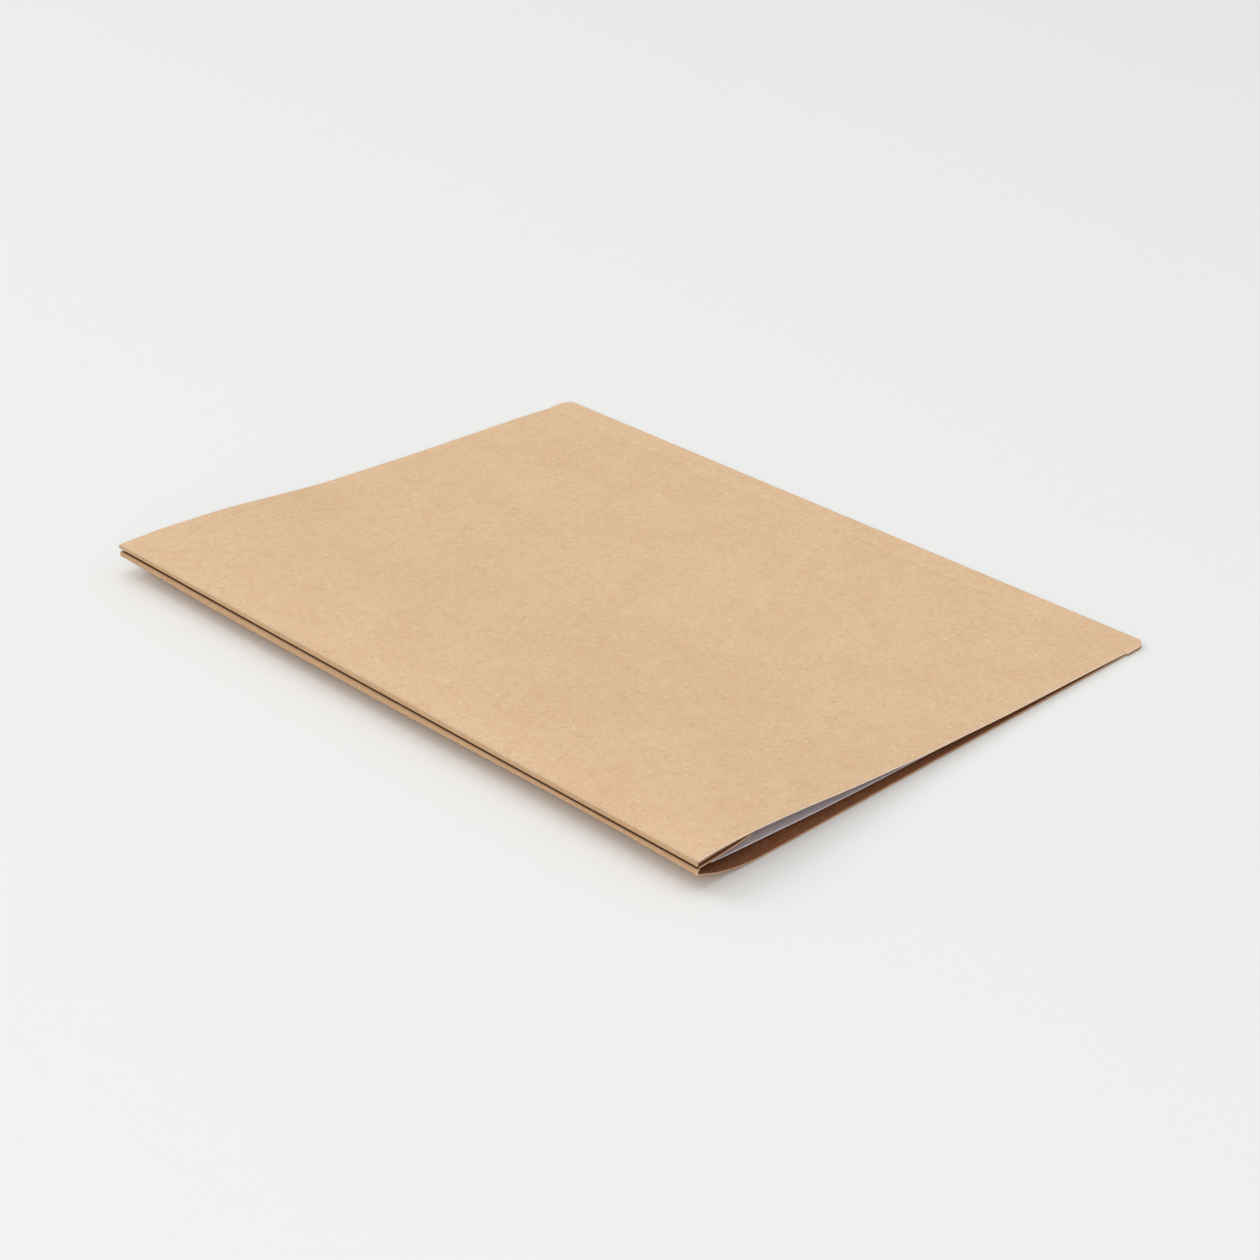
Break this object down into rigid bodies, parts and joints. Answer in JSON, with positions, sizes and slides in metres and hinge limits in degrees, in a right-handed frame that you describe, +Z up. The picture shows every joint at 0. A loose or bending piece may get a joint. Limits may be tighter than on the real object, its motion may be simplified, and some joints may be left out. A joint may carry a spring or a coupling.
{
  "type": "pocket note folder",
  "caption": "Slim folded kraft card pocket folder lying closed, with a pocket flap inside each cover, a creased spine strip and a loose white note sheet.",
  "frame": {"origin": "middle of the box's underside, on the surface that the folder lies on", "axes": "+X from the fore edge to the spine, +Y from the pockets' open mouths to their glued ends, +Z up out of the front cover"},
  "size_m": [0.0982, 0.1248, 0.0052],
  "materials": {
    "kraft_card": "uncoated kraft card, matt, fine fibre flecks",
    "white_paper": "uncoated white writing paper, matt",
    "adhesive": "dried clear glue film"
  },
  "bodies": {
    "back_cover": {"back_cover": "kraft_card", "back_edge_fold": "kraft_card", "back_pocket_flap": "kraft_card", "back_pocket_tab": "kraft_card", "back_tab_glue": "adhesive", "back_spine_strip": "kraft_card", "spine_fold": "kraft_card"},
    "front_strip": {"front_spine_strip": "kraft_card"},
    "front_cover": {"front_cover": "kraft_card", "front_edge_fold": "kraft_card", "front_pocket_flap": "kraft_card", "front_pocket_tab": "kraft_card", "front_tab_glue": "adhesive"},
    "note_sheet": {"note_sheet": "white_paper"}
  },
  "joints": [
    {"name": "spine_fold", "type": "hinge", "parent": "back_cover", "child": "front_strip", "pos_m": [0.04875, 0, 0.00035], "axis": [0, 1, 0], "range_deg": [0, 125]},
    {"name": "front_crease", "type": "hinge", "parent": "front_strip", "child": "front_cover", "pos_m": [0.0442, 0, 0.00055], "axis": [0, 1, 0], "range_deg": [0, 50]},
    {"name": "note_sheet_slide", "type": "slide", "parent": "back_cover", "child": "note_sheet", "axis": [0, -1, 0], "range_m": [0, 0.1]}
  ]
}
